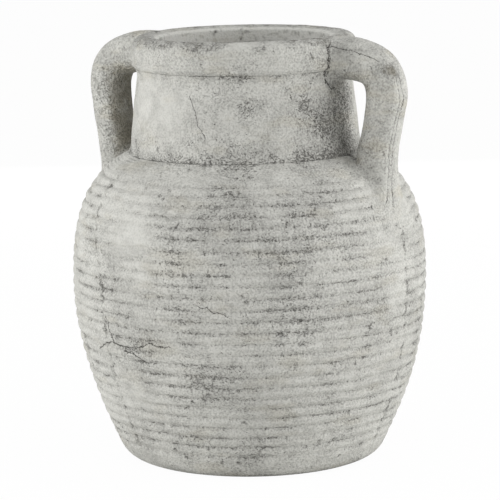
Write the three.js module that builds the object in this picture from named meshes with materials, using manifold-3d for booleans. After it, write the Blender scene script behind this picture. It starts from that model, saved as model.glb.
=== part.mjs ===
// Two-handled amphora planter of pale, stone-washed clay. Millimetres, +Z up.
// The origin lies on the ground at the middle of the foot, and the handles stand along X.
// The belly is three pressed panels joined on upright seams, closed by a floor slab,
// with a neck collar let into the shoulder, a rim let into the collar and two luted handles.

import * as THREE from 'three';
import { mergeVertices } from 'three/addons/utils/BufferGeometryUtils.js';
import Module from 'manifold-3d';

const wasm = await Module();
wasm.setup();

// Joints
const jointGap = 0.3;          // slip-filled gap between neighbouring pieces

// Foot
const footFlatRadius = 110;    // outer radius of the flat that stands on the ground
const footRingWidth = 18;      // width of that flat
const footEdgeRun = 22.5;      // outward run of the round edge above it
const footEdgeRise = 14;       // and its height
const footLedgeWidth = 12;     // ledge inside the foot that carries the floor slab
const footLedgeHeight = 8;

// Floor slab
const floorPlate = 12;         // thickness above the ledge
const floorRelief = 1;         // the underside stands this clear of the ground
const drainRadius = 12;

// Belly
const bellyRadius = 175.6;     // widest radius, over the ribs
const bellyHeight = 178;       // height of the widest place
const bellyWall = 13;
const shoulderRise = 128.5;    // from the widest place up to the neck's root
const lowerWallLean = 0.52;    // outward run of the wall per unit of rise, just above the foot
const lowerFootPull = 44;      // rise over which the lower wall keeps that lean
const lowerBellyPull = 65;     // drop below the widest place that stays upright
const upperBellyPull = 70;     // rise above the widest place that stays upright
const shoulderPullOut = 47.5;  // control of the shoulder's turn, outward from the neck's root
const shoulderPullDown = 22.5; // and down from it

// Ribs pressed round the belly
const ribPitch = 11.3;         // distance from groove to groove along the wall
const ribDepth = 1.8;
const ribFlank = 0.27;         // share of a rib's pitch that each sloping flank takes
const plainShoulder = 34;      // stretch without ribs below the neck, along the wall

// Rim, from the mouth outwards
const mouthRadius = 84;
const rimSpigotWall = 11;      // wall of the part let into the neck
const rimSpigot = 10;          // depth of that part
const rimSeat = 10.7;          // flat on the neck that carries the rim
const rimOverhang = 5.2;       // the band stands this proud of the neck
const rimHeight = 33.5;        // height of the band above the neck
const rimInnerDrop = 3;        // the inner edge lies this much lower than the crest
const rimUnderRound = 6;
const rimOuterRound = 12;
const rimInnerRound = 5;

// Neck collar
const neckHeight = 80.5;       // from the shoulder to the rim
const neckFlare = 8.3;         // the neck's root is this much wider than its top
const neckLedge = 3;           // ledge below the rim's spigot, inside the neck
const shoulderSeat = 11;       // flat on the shoulder that carries the collar
const collarSpigot = 14;       // depth that the collar is let into the shoulder

// Handles
const handleStandOff = 45.5;   // from the rim's outside to the middle of the upright
const handleThickness = 38;    // through the upright, away from the neck
const handleWidth = 37;        // across the handle, along the rim
const handleSquareness = 0.72; // 1 gives a round section, smaller is squarer
const handleRootSwell = 2.5;   // extra half thickness where it meets the rim
const handleFootSwell = 5;     // extra half width where it meets the shoulder
const handleArmDrop = 21.5;    // from the rim's crest to the middle of the arm
const handleArmRun = 12;       // straight run of the arm past the rim
const handleBendDrop = 33;     // from the arm down to the widest place of the upright
const handleBendInset = 9;     // the bend's middle lies this far inside the widest place
const handleBendFall = 9.5;    // and this far below the arm
const handleLean = 8;          // the upright draws in by this much
const handleLeanDrop = 75;     // at this depth below the arm
const handleFootRun = 43;      // from the neck's root to the handle's foot, along the shoulder
const handleFootRise = 20;     // straight run just above the foot
const handleFootDepth = 44;    // the bar runs this far into the shoulder before it is cut off
const handleFootTuck = 6;      // and leans in by this much on that run
const handleRootShare = 0.35;  // share of the bar over which the root's swell fades
const handleFootShare = 0.45;  // share of the bar over which the foot's swell grows

// Counts
const panelCount = 3;
const meridians = 36;
const inwardSteps = 14;
const cornerSteps = 4;
const plainSteps = 4;
const handleSides = 16;
const handleSteps = 26;

// Places worked out from the sizes
const footRadius = footFlatRadius + footEdgeRun;
const footRingRadius = footFlatRadius - footRingWidth;
const footLedgeRadius = footRingRadius + footLedgeWidth;
const floorTop = footLedgeHeight + floorPlate;
const rimSpigotRadius = mouthRadius + rimSpigotWall;
const neckBoreRadius = rimSpigotRadius - neckLedge;
const neckTopRadius = rimSpigotRadius + jointGap + rimSeat;
const neckRootRadius = neckTopRadius + neckFlare;
const neckRootHeight = bellyHeight + shoulderRise;
const neckTopHeight = neckRootHeight + neckHeight;
const socketRadius = neckRootRadius - shoulderSeat;
const rimRadius = neckTopRadius + rimOverhang;
const rimTop = neckTopHeight + rimHeight;

const clay = (name, color, roughness) =>
  new THREE.MeshStandardMaterial({ name, color, roughness, metalness: 0 });

// A closed mesh as a solid that can be cut.
function solidOf(geometry) {
  const bare = geometry.clone();
  bare.deleteAttribute('normal');
  bare.deleteAttribute('uv');
  const merged = mergeVertices(bare, 1e-4);
  return new wasm.Manifold(new wasm.Mesh({
    numProp: 3,
    vertProperties: new Float32Array(merged.getAttribute('position').array),
    triVerts: new Uint32Array(merged.getIndex().array),
  }));
}

// A cut solid as a geometry again.
function geometryOf(solid) {
  const mesh = solid.getMesh();
  const geometry = new THREE.BufferGeometry();
  geometry.setAttribute('position', new THREE.BufferAttribute(mesh.vertProperties, 3));
  geometry.setIndex(new THREE.BufferAttribute(mesh.triVerts, 1));
  geometry.computeVertexNormals();
  return geometry;
}

function pieceMesh(name, geometry, material) {
  const mesh = new THREE.Mesh(geometry, material);
  mesh.name = name;
  return mesh;
}

// A ring or filled round body from an outline of (radius, height) points that runs upwards
// outside. The middle of a face, not an edge, lies on the +X seam.
function turned(outline) {
  const halfFace = Math.PI / meridians;
  const geometry = new THREE.LatheGeometry(outline, meridians, Math.PI / 2 + halfFace);
  geometry.rotateX(Math.PI / 2);
  return geometry;
}

// A closed outline through corners [radius, height, round], each corner eased by its round.
function easedOutline(corners) {
  const places = corners.map(([radius, height]) => new THREE.Vector2(radius, height));
  const points = [];
  corners.forEach(([, , round = 0], index) => {
    const corner = places[index];
    if (round === 0) {
      points.push(corner);
      return;
    }
    const before = places[(index + places.length - 1) % places.length];
    const after = places[(index + 1) % places.length];
    const start = corner.clone().add(before.clone().sub(corner).setLength(round));
    const end = corner.clone().add(after.clone().sub(corner).setLength(round));
    points.push(...new THREE.QuadraticBezierCurve(start, corner, end).getPoints(cornerSteps));
  });
  points.push(points[0].clone());
  return points;
}

// The belly's outer line over the ribs, from the top of the foot's edge to the neck's root.
const lowerWall = new THREE.CubicBezierCurve(
  new THREE.Vector2(footRadius, footEdgeRise),
  new THREE.Vector2(footRadius + lowerFootPull * lowerWallLean, footEdgeRise + lowerFootPull),
  new THREE.Vector2(bellyRadius, bellyHeight - lowerBellyPull),
  new THREE.Vector2(bellyRadius, bellyHeight),
);
const upperWall = new THREE.CubicBezierCurve(
  new THREE.Vector2(bellyRadius, bellyHeight),
  new THREE.Vector2(bellyRadius, bellyHeight + upperBellyPull),
  new THREE.Vector2(neckRootRadius + shoulderPullOut, neckRootHeight - shoulderPullDown),
  new THREE.Vector2(neckRootRadius, neckRootHeight),
);
const wallLine = new THREE.CurvePath();
wallLine.add(lowerWall);
wallLine.add(upperWall);
const wallLength = wallLine.getLength();

// The round edge between the standing flat and the wall.
const footEdge = new THREE.QuadraticBezierCurve(
  new THREE.Vector2(footFlatRadius, 0),
  new THREE.Vector2(footRadius - footEdgeRise * lowerWallLean, 0),
  new THREE.Vector2(footRadius, footEdgeRise),
);

// A point of a wall line moved outwards, square to it.
function beside(line, along, outwards) {
  const tangent = line.getTangent(along);
  const normal = new THREE.Vector2(tangent.y, -tangent.x);
  return line.getPoint(along).addScaledVector(normal, outwards);
}

// The outer line of foot, ribs and plain shoulder, moved outwards by a clearance.
function bellyOutline(clearance) {
  const points = [];
  for (let step = 0; step < cornerSteps; step += 1) {
    points.push(beside(footEdge, step / cornerSteps, clearance));
  }
  points.push(beside(wallLine, 0, clearance));
  const ribCount = Math.round((wallLength - plainShoulder) / ribPitch);
  const ribShare = (1 - plainShoulder / wallLength) / ribCount;
  for (let rib = 0; rib < ribCount; rib += 1) {
    points.push(beside(wallLine, (rib + ribFlank) * ribShare, clearance));
    points.push(beside(wallLine, (rib + 1 - ribFlank) * ribShare, clearance));
    points.push(beside(wallLine, (rib + 1) * ribShare, clearance - ribDepth));
  }
  const plainStart = ribCount * ribShare;
  for (let step = 0; step < plainSteps; step += 1) {
    const along = plainStart + (1 - plainStart) * (step + 0.5) / plainSteps;
    points.push(beside(wallLine, along, clearance));
  }
  points.push(new THREE.Vector2(neckRootRadius + clearance, neckRootHeight + clearance));
  return points;
}

// The belly's inner line from the shoulder's mouth down to the floor, a wall's thickness in.
function hollowOutline() {
  const points = [];
  for (let step = 0; step <= inwardSteps; step += 1) {
    const point = beside(wallLine, 1 - step / inwardSteps, -bellyWall);
    if (point.x > socketRadius + bellyWall / 2 && point.y > floorTop + bellyWall / 2) {
      points.push(point);
    }
  }
  return points;
}

// The whole belly ring, with its seat for the collar and its ledge for the floor.
function bellyRing() {
  const hollow = hollowOutline();
  const wallFootRadius = (hollow[hollow.length - 1].x + footLedgeRadius) / 2;
  const outline = [
    new THREE.Vector2(footRingRadius, 0),
    ...bellyOutline(0),
    new THREE.Vector2(socketRadius, neckRootHeight),
    new THREE.Vector2(socketRadius, neckRootHeight - collarSpigot),
    ...hollow,
    new THREE.Vector2(wallFootRadius, floorTop),
    new THREE.Vector2(footLedgeRadius, floorTop),
    new THREE.Vector2(footLedgeRadius, footLedgeHeight),
    new THREE.Vector2(footRingRadius, footLedgeHeight),
    new THREE.Vector2(footRingRadius, 0),
  ];
  return solidOf(turned(outline));
}

// A tall three-sided block that holds one panel's share of the ring, less half a joint a side.
function panelWedge(middle) {
  const halfShare = Math.PI / panelCount;
  const reach = 2 * bellyRadius / Math.cos(halfShare);
  const inset = jointGap / 2 / Math.sin(halfShare);
  const far = inset + reach * Math.cos(halfShare);
  const aside = reach * Math.sin(halfShare);
  const shape = new THREE.Shape([
    new THREE.Vector2(inset, 0),
    new THREE.Vector2(far, -aside),
    new THREE.Vector2(far, aside),
  ]);
  const geometry = new THREE.ExtrudeGeometry(shape, { depth: 2 * rimTop, bevelEnabled: false });
  geometry.translate(0, 0, -rimTop / 2);
  geometry.rotateZ(middle);
  return solidOf(geometry);
}

// The floor slab: a plug in the standing ring under a wider plate on the ledge, with a drain.
function floorSlab() {
  return turned(easedOutline([
    [drainRadius, floorRelief],
    [footRingRadius - jointGap, floorRelief],
    [footRingRadius - jointGap, footLedgeHeight + jointGap],
    [footLedgeRadius - jointGap, footLedgeHeight + jointGap],
    [footLedgeRadius - jointGap, floorTop],
    [drainRadius, floorTop],
  ]));
}

// The neck collar: a spigot in the shoulder, a cone outside and a socket for the rim on top.
function neckCollar() {
  const rimSocketRadius = rimSpigotRadius + jointGap;
  return turned(easedOutline([
    [neckBoreRadius, neckRootHeight - collarSpigot],
    [socketRadius - jointGap, neckRootHeight - collarSpigot],
    [socketRadius - jointGap, neckRootHeight + jointGap],
    [neckRootRadius, neckRootHeight + jointGap],
    [neckTopRadius, neckTopHeight],
    [rimSocketRadius, neckTopHeight],
    [rimSocketRadius, neckTopHeight - rimSpigot],
    [neckBoreRadius, neckTopHeight - rimSpigot],
  ]));
}

// The rim's two outer corners, moved outwards by a clearance.
function rimCorners(clearance) {
  return [
    [rimRadius + clearance, neckTopHeight + jointGap - clearance, rimUnderRound],
    [rimRadius + clearance, rimTop + clearance, rimOuterRound],
  ];
}

// The rim: a fat rolled band with a crowned top and a spigot down into the collar.
function rimBand() {
  const crestRadius = (rimRadius + mouthRadius) / 2;
  const spigotFoot = neckTopHeight - rimSpigot + jointGap;
  const seatHeight = neckTopHeight + jointGap;
  return turned(easedOutline([
    [mouthRadius + rimInnerDrop, spigotFoot],
    [rimSpigotRadius, spigotFoot],
    [rimSpigotRadius, seatHeight],
    ...rimCorners(0),
    [crestRadius, rimTop],
    [mouthRadius, rimTop - rimInnerDrop, rimInnerRound],
  ]));
}

// The filled shapes of belly, neck and rim that a handle is pressed on, a joint's gap larger.
function vesselCores() {
  const onAxis = (height) => new THREE.Vector2(0, height);
  const belly = bellyOutline(jointGap);
  const neck = [
    new THREE.Vector2(neckRootRadius + jointGap, bellyHeight),
    new THREE.Vector2(neckRootRadius + jointGap, neckRootHeight),
    new THREE.Vector2(neckTopRadius + jointGap, neckTopHeight + jointGap),
  ];
  const band = easedOutline([
    [mouthRadius, neckTopHeight],
    ...rimCorners(jointGap),
    [mouthRadius, rimTop + jointGap],
  ]);
  band.pop();
  return [belly, neck, band].map((outline) => solidOf(turned([
    onAxis(outline[0].y),
    ...outline,
    onAxis(outline[outline.length - 1].y),
  ])));
}

// The middle line of the handle on the +X side, from inside the rim to inside the shoulder.
function handleLine() {
  const armHeight = rimTop - handleArmDrop;
  const reach = rimRadius + handleStandOff;
  const foot = wallLine.getPoint(1 - handleFootRun / wallLength);
  const places = [
    [(rimRadius + mouthRadius) / 2, armHeight],
    [rimRadius + handleArmRun, armHeight],
    [reach - handleBendInset, armHeight - handleBendFall],
    [reach, armHeight - handleBendDrop],
    [reach - handleLean, armHeight - handleLeanDrop],
    [foot.x, foot.y + handleFootRise],
    [foot.x - handleFootTuck, foot.y - handleFootDepth],
  ];
  return new THREE.CatmullRomCurve3(places.map(([x, z]) => new THREE.Vector3(x, 0, z)));
}

// A bar bent along the handle's line, thick at the rim and spread at the shoulder.
function handleBar() {
  const line = handleLine();
  const across = new THREE.Vector3(0, 1, 0);
  const geometry = new THREE.CylinderGeometry(1, 1, 1, handleSides, handleSteps);
  const position = geometry.getAttribute('position');
  const squared = (value) => Math.sign(value) * Math.abs(value) ** handleSquareness;
  for (let index = 0; index < position.count; index += 1) {
    const along = THREE.MathUtils.clamp(0.5 - position.getY(index), 0, 1);
    const root = 1 - THREE.MathUtils.smoothstep(along, 0, handleRootShare);
    const spread = THREE.MathUtils.smoothstep(along, 1 - handleFootShare, 1);
    const outwards = new THREE.Vector3().crossVectors(across, line.getTangentAt(along));
    const deep = handleThickness / 2 + handleRootSwell * root;
    const wide = handleWidth / 2 + handleFootSwell * spread;
    const point = line.getPointAt(along);
    point.addScaledVector(outwards, deep * squared(position.getX(index)));
    point.addScaledVector(across, wide * squared(position.getZ(index)));
    position.setXYZ(index, point.x, point.y, point.z);
  }
  return geometry;
}

// A handle turned to its side of the vessel and cut to lie on belly, neck and rim.
function handle(turn) {
  const bar = solidOf(handleBar().rotateZ(turn));
  return geometryOf(vesselCores().reduce((rest, core) => rest.subtract(core), bar));
}

const planter = new THREE.Group();

// The seams between the panels lie at +X, behind the right handle, and a third of a turn on.
const panelColours = { front: 0xb9b8b1, rear: 0xb5b4ad, left: 0xb7b6af };
const ring = bellyRing();
Object.entries(panelColours).forEach(([place, colour], index) => {
  const middle = (2 * index - 1) * Math.PI / panelCount;
  const panel = geometryOf(ring.intersect(panelWedge(middle)));
  planter.add(pieceMesh(`belly_panel_${place}`, panel, clay('ribbed_clay', colour, 0.94)));
});

planter.add(
  pieceMesh('floor_slab', floorSlab(), clay('floor_clay', 0xaaa8a0, 0.95)),
  pieceMesh('neck_collar', neckCollar(), clay('neck_clay', 0xc3c2bc, 0.92)),
  pieceMesh('rim_band', rimBand(), clay('rim_clay', 0xbebdb6, 0.92)),
  pieceMesh('handle_right', handle(0), clay('handle_clay', 0xbab9b2, 0.93)),
  pieceMesh('handle_left', handle(Math.PI), clay('handle_clay', 0xb4b3ab, 0.93)),
);

export default planter;
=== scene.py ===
"""Looks of a two-handled amphora planter in pale, stone-washed clay.

Outlines are worked out in millimetres, with +Z up, and a finished piece is scaled to metres.
"""

import logging
import math
from abc import ABC, abstractmethod
from bisect import bisect_right
from dataclasses import dataclass, field, replace
from enum import Enum
from typing import Any, Sequence

import bmesh
import bpy
from mathutils import Matrix, Vector, noise
from mathutils.geometry import interpolate_bezier


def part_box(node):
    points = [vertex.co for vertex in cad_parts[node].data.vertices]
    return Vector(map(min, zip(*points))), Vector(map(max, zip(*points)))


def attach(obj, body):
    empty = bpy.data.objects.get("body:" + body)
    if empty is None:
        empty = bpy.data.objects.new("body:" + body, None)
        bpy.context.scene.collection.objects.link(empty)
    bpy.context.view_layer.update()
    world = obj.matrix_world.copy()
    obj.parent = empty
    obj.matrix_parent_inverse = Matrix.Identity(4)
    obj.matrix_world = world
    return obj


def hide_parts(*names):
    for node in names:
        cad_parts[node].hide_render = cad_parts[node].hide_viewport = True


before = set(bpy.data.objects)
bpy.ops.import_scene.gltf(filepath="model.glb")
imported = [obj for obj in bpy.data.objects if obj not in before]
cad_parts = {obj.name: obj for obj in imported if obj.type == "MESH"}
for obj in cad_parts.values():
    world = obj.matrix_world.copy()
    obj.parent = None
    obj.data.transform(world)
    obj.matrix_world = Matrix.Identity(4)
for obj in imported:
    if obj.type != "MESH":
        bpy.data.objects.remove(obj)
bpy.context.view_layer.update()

LOG = logging.getLogger("planter")
MM = 0.001
TINY = 1e-6
MERGE = 1e-4
ORIGIN = Vector((0.0, 0.0, 0.0))
UP = Vector((0.0, 0.0, 1.0))
# Millimetres from a crack: the most that is marked, its dent's reach, and how far its edge may stray.
FAR_AWAY = 40.0
CRACK_REACH = 1.2
NEAR_CRACK = 3.0
# A length along the wall that no point of the wall has.
OFF_WALL = -1.0
# A round's control points lie this share of the way to the corner.
ROUND_PULL = 2 / 3
# A smooth line's control point lies this part of the chord between its neighbours away.
CHORD_PARTS = 6
# Degrees between two faces from which their edge stays sharp.
CRISP_EDGE = 50.0
# The marks that each mesh carries; the dirt mark also carries painted shade and light.
MARKS = ("groove", "soil_and_painted_light", "crack", "near")
Colour = tuple[float, float, float]
Corner = tuple[float, float, float]
Span = tuple[float, float]
Wave = tuple[float, float]


class PanelPlace(Enum):
    """Where a belly panel starts, in degrees round the pot from +X."""

    FRONT = -120.0
    REAR = 0.0
    LEFT = 120.0


class HandleSide(Enum):
    """How far a handle is turned round the pot, in degrees from +X."""

    RIGHT = 0.0
    LEFT = 180.0


def smooth_step(low: float, high: float, value: float) -> float:
    """Eases a value from 0 at low to 1 at high.

    Args:
        low: Where the step starts.
        high: Where the step ends.
        value: The value to ease.

    Returns:
        A share from 0 to 1.
    """
    share = min(max((value - low) / (high - low), 0.0), 1.0)
    return share * share * (3.0 - 2.0 * share)


def bell(offset: float, reach: float) -> float:
    """A soft hump that is 1 at no offset and fades on both sides over the reach."""
    return math.exp(-((offset / reach) ** 2))


def fading(distance: float, reach: float) -> float:
    """A share that is 1 at no distance and fades over the reach."""
    return math.exp(-max(distance, 0.0) / reach)


def curve_points(start: Sequence[float], first: Sequence[float], second: Sequence[float],
                 end: Sequence[float], count: int) -> list[Vector]:
    """Points on one cubic curve.

    Args:
        start: The curve's first point.
        first: The control point next to the start.
        second: The control point next to the end.
        end: The curve's last point.
        count: How many points, both ends included.

    Returns:
        The points, from start to end.
    """
    return interpolate_bezier(Vector(start), Vector(first), Vector(second), Vector(end), count)


def rounded(start: Vector, corner: Vector, end: Vector, count: int) -> list[Vector]:
    """Points on a round that cuts off a corner, from its start to its end, both included."""
    return curve_points(start, start.lerp(corner, ROUND_PULL), end.lerp(corner, ROUND_PULL), end, count)


def eased_outline(corners: Sequence[Corner], steps: int) -> list[Vector]:
    """A closed outline whose corners are rounded.

    Args:
        corners: Each corner's radius, height and the length that its round takes of both sides.
        steps: How many points a round has.

    Returns:
        The outline's points in order.
    """
    points: list[Vector] = []
    for index, (radius, height, ease) in enumerate(corners):
        corner = Vector((radius, height))
        if ease == 0.0:
            points.append(corner)
            continue
        before = Vector(corners[index - 1][:2])
        after = Vector(corners[(index + 1) % len(corners)][:2])
        start = corner + (before - corner).normalized() * ease
        end = corner + (after - corner).normalized() * ease
        points += rounded(start, corner, end, steps)
    return points


@dataclass(frozen=True)
class Uneven:
    """An amount that varies over the pot.

    It has a usual value, waves of noise about it as (height, waves for each millimetre), and a least value.
    """

    usual: float
    waves: tuple[Wave, ...]
    least: float = -math.inf

    def at(self, point: Vector) -> float:
        """The amount at a point.

        Args:
            point: A point of the pot, in millimetres.

        Returns:
            The amount.
        """
        amount = self.usual
        for height, scale in self.waves:
            amount += height * noise.noise(point * scale)
        return max(amount, self.least)


@dataclass(frozen=True)
class Pits:
    """Small scattered pits: their spacing, the share of the skin that has them, their depth and dirt."""

    spacing: float
    share: float
    soiled_share: float
    depth: float
    dirt: float
    spread: float = 0.37
    bare_level: float = -0.6
    level_rise: float = 1.2
    wall: Span = (0.08, 0.32)

    def at(self, point: Vector, soil_and_painted_light: float) -> float:
        """How deep a point lies in a pit.

        Args:
            point: The point, in millimetres.
            soil_and_painted_light: How dirty the place is, painted shade and light included, since dirty
                skin has more pits.

        Returns:
            A depth share from 0 to 1.
        """
        distances, centres = noise.voronoi(point / self.spacing)
        share = self.share + self.soiled_share * soil_and_painted_light
        if noise.noise(centres[0] * self.spread) > self.level_rise * share + self.bare_level:
            return 0.0
        return 1.0 - smooth_step(*self.wall, distances[0])


class Meridian:
    """An open outline of (radius, height) points that knows the length along it."""

    def __init__(self, points: Sequence[Vector]) -> None:
        """Measures the outline once.

        Args:
            points: The outline's points, from its foot upwards.
        """
        self.points = list(points)
        self.heights = [point.y for point in self.points]
        self.lengths = [0.0]
        for before, after in zip(self.points, self.points[1:]):
            self.lengths.append(self.lengths[-1] + (after - before).length)

    @property
    def length(self) -> float:
        """The whole length."""
        return self.lengths[-1]

    def _span(self, along: float) -> tuple[int, float]:
        """The segment that holds a length, and the share of it that is passed.

        Args:
            along: The length along the outline.

        Returns:
            The segment's number and the share.
        """
        index = min(max(bisect_right(self.lengths, along) - 1, 0), len(self.points) - 2)
        run = self.lengths[index + 1] - self.lengths[index]
        return index, (along - self.lengths[index]) / run

    def rise_to(self, height: float) -> float:
        """The length along the outline at which it reaches a height.

        Args:
            height: The height.

        Returns:
            The length.
        """
        index = min(max(bisect_right(self.heights, height) - 1, 0), len(self.points) - 2)
        climb = max(self.heights[index + 1] - self.heights[index], TINY)
        share = min(max((height - self.heights[index]) / climb, 0.0), 1.0)
        return self.lengths[index] + (self.lengths[index + 1] - self.lengths[index]) * share

    def at(self, along: float) -> Vector:
        """The point at a length along the outline."""
        index, share = self._span(along)
        return self.points[index].lerp(self.points[index + 1], share)

    def outwards(self, along: float) -> Vector:
        """The direction square to the outline, away from the pot's middle.

        Args:
            along: The length along the outline.

        Returns:
            The direction, of length 1.
        """
        reach = 1.0
        run = self.at(min(along + reach, self.length)) - self.at(max(along - reach, 0.0))
        return Vector((run.y, -run.x)).normalized()


@dataclass
class Vessel:
    """The turned body's sizes and outlines, shared by every piece. Millimetres."""

    joint_gap: float = 0.3
    foot_flat: float = 107.0
    foot_ring: float = 92.0
    foot_ledge: float = 104.0
    foot_ledge_height: float = 8.0
    floor_plate: float = 12.0
    foot_radius: float = 132.5
    foot_rise: float = 14.0
    foot_lean: float = 0.52
    wall_lean: float = 0.47
    foot_pull: float = 44.0
    belly_radius: float = 175.6
    belly_height: float = 178.0
    belly_wall: float = 13.0
    belly_pull_down: float = 65.0
    belly_pull_up: float = 70.0
    shoulder_pull: Span = (47.5, -22.5)
    shoulder_seat: float = 11.0
    socket_depth: float = 14.0
    neck_root: float = 114.3
    neck_top: float = 106.0
    neck_bore: float = 92.0
    rim_radius: float = 111.2
    rim_under_round: float = 8.0
    rim_outer_round: float = 13.0
    rim_spigot: float = 10.0
    rim_spigot_radius: float = 95.0
    bedding: float = 0.6
    lean: Span = (-1.9, -1.1)
    tilt: Span = (0.0052, 0.003)
    lean_heights: Span = (240.0, 330.0)
    foot_stray: Span = (1.4, 0.8)
    foot_stray_heights: Span = (60.0, 170.0)
    out_of_round: Uneven = Uneven(0.0, ((0.7, 0.011),))
    axis_clear: float = 1.0
    seam_stray: Span = (6.0, -3.0)
    seam_stray_heights: Span = (174.0, 267.0)
    wall_steps: int = 90
    rim_steps: int = 8
    shoulder_height: float = field(init=False)
    neck_height: float = field(init=False)
    crest_height: float = field(init=False)
    wall: Meridian = field(init=False)
    skin: Meridian = field(init=False)

    def __post_init__(self) -> None:
        """Takes the joints' heights from the frame and draws the outer lines."""
        self.shoulder_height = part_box("belly_panel_front")[1].z / MM
        self.neck_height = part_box("neck_collar")[1].z / MM
        self.crest_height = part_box("rim_band")[1].z / MM
        foot = (self.foot_radius, self.foot_rise)
        foot_control = (foot[0] + self.foot_pull * self.wall_lean, foot[1] + self.foot_pull)
        belly = (self.belly_radius, self.belly_height)
        root = (self.neck_root, self.shoulder_height)
        root_control = (root[0] + self.shoulder_pull[0], root[1] + self.shoulder_pull[1])
        below = (belly[0], belly[1] - self.belly_pull_down)
        above = (belly[0], belly[1] + self.belly_pull_up)
        lower = curve_points(foot, foot_control, below, belly, self.wall_steps)
        upper = curve_points(belly, above, root_control, root, self.wall_steps)
        self.wall = Meridian(lower + upper[1:])
        rim = eased_outline([(self.neck_bore, self.neck_height, 0.0), *self.rim_corners(),
                             (self.neck_bore, self.crest_height, 0.0)], self.rim_steps)[1:-1]
        self.skin = Meridian([*self.wall.points, Vector((self.neck_top, self.neck_height)), *rim])

    def rim_corners(self) -> list[Corner]:
        """The rim's two outer corners, from below."""
        seat = self.neck_height + self.joint_gap
        return [(self.rim_radius, seat, self.rim_under_round),
                (self.rim_radius, self.crest_height, self.rim_outer_round)]

    def radius_at(self, height: float) -> float:
        """The turned body's outer radius at a height, or 0 above the rim.

        Args:
            height: The height.

        Returns:
            The radius.
        """
        if height > self.crest_height:
            return 0.0
        return self.skin.at(self.skin.rise_to(height)).x

    def seam_shift(self, seam: float, height: float) -> float:
        """How many degrees a seam strays from its true place; only the front left one does.

        Args:
            seam: The seam's true place in degrees.
            height: The height.

        Returns:
            The stray in degrees.
        """
        if seam % 360.0 != PanelPlace.FRONT.value % 360.0:
            return 0.0
        low, high = self.seam_stray
        return low + (high - low) * smooth_step(*self.seam_stray_heights, height)

    def settled(self, point: Vector) -> Vector:
        """A point of any piece after the clay has sagged a little out of true.

        Args:
            point: The point on the true form.

        Returns:
            The point on the fired pot.
        """
        rise = point.x * self.tilt[0] + point.y * self.tilt[1]
        moved = point + Vector((*self.lean, rise)) * smooth_step(*self.lean_heights, point.z)
        moved += Vector((*self.foot_stray, 0.0)) * (1.0 - smooth_step(*self.foot_stray_heights, point.z))
        swell = self.out_of_round.at(point)
        outwards = Vector((point.x, point.y, 0.0))
        if outwards.length > self.axis_clear:
            moved += outwards.normalized() * swell * smooth_step(0.0, self.foot_rise, point.z)
        return moved


@dataclass(frozen=True)
class Crack:
    """A wandering crack, as places of (degrees round the pot, height)."""

    places: tuple[Span, ...]
    width: float = 0.65
    reach: float = 9.0

    def offset(self, point: Vector) -> float:
        """How far a point lies beside the crack, with a sign for its side.

        Args:
            point: A point on the turned body.

        Returns:
            The offset in millimetres for a crack of width 1, at most FAR_AWAY.
        """
        heights = [height for _, height in self.places]
        if not min(heights) - self.reach < point.z < max(heights) + self.reach:
            return FAR_AWAY
        radius = math.hypot(point.x, point.y)
        angle = math.atan2(point.y, point.x)
        middle = math.radians(self.places[len(self.places) // 2][0])
        angle = middle + (angle - middle + math.pi) % math.tau - math.pi
        best = FAR_AWAY
        for (turn_a, height_a), (turn_b, height_b) in zip(self.places, self.places[1:]):
            start = Vector((math.radians(turn_a) * radius, height_a))
            run = Vector((math.radians(turn_b) * radius, height_b)) - start
            here = Vector((angle * radius, point.z)) - start
            share = min(max(here.dot(run) / run.length_squared, 0.0), 1.0)
            beside = here - run * share
            distance = math.copysign(beside.length, run.x * beside.y - run.y * beside.x)
            if abs(distance) < abs(best):
                best = distance
        return best / self.width


@dataclass(frozen=True)
class Patch:
    """A soft-edged area that is dirtier, or rubbed cleaner, than the rest of a piece; some also hold
    painted shade, and one is a painted highlight.
    """

    turn: float
    height: float
    reach: Span
    amount: float
    cut_off: float = 2.5

    def at(self, point: Vector) -> float:
        """The patch's dirt at a point, fading with the distance round and up.

        Args:
            point: A point of the pot, in millimetres.

        Returns:
            The dirt.
        """
        rise = (point.z - self.height) / self.reach[1]
        if abs(rise) > self.cut_off:
            return 0.0
        turn = (math.degrees(math.atan2(point.y, point.x)) - self.turn + 180.0) % 360.0 - 180.0
        aside = math.radians(turn) * math.hypot(point.x, point.y) / self.reach[0]
        return self.amount * math.exp(-(aside * aside + rise * rise))


@dataclass(frozen=True)
class Weather:
    """What years outdoors have left on one piece, with some patches of painted shade and light."""

    patches: tuple[Patch, ...] = ()
    cracks: tuple[Crack, ...] = ()
    clouds: Uneven = Uneven(0.0, ((0.45, 0.028), (0.3, 0.09)))

    def with_crack(self, crack: Crack) -> "Weather":
        """The same weather with one more crack."""
        return replace(self, cracks=(*self.cracks, crack))

    def soil_and_painted_light(self, point: Vector) -> float:
        """How dirty a point is, painted shade and light included: about 0 on plain wash, 1 in filth, and
        below 0 where rubbed and where a highlight is painted.
        """
        return self.clouds.at(point) + sum(patch.at(point) for patch in self.patches)

    def crack(self, point: Vector) -> float:
        """The offset to the nearest crack, or FAR_AWAY."""
        return min((crack.offset(point) for crack in self.cracks), key=abs, default=FAR_AWAY)


@dataclass(frozen=True)
class Ground:
    """The weather of the pieces that a handle is luted to."""

    belly: Weather
    neck: Weather
    rim: Weather

    def soil_and_painted_light(self, vessel: Vessel, point: Vector) -> float:
        """How dirty the turned body is near a point, painted shade and light included.

        Args:
            vessel: The turned body's sizes.
            point: A point of the pot, in millimetres.

        Returns:
            The dirt, with painted shade and light.
        """
        if point.z < vessel.shoulder_height:
            return self.belly.soil_and_painted_light(point)
        return (self.neck if point.z < vessel.neck_height else self.rim).soil_and_painted_light(point)


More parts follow.
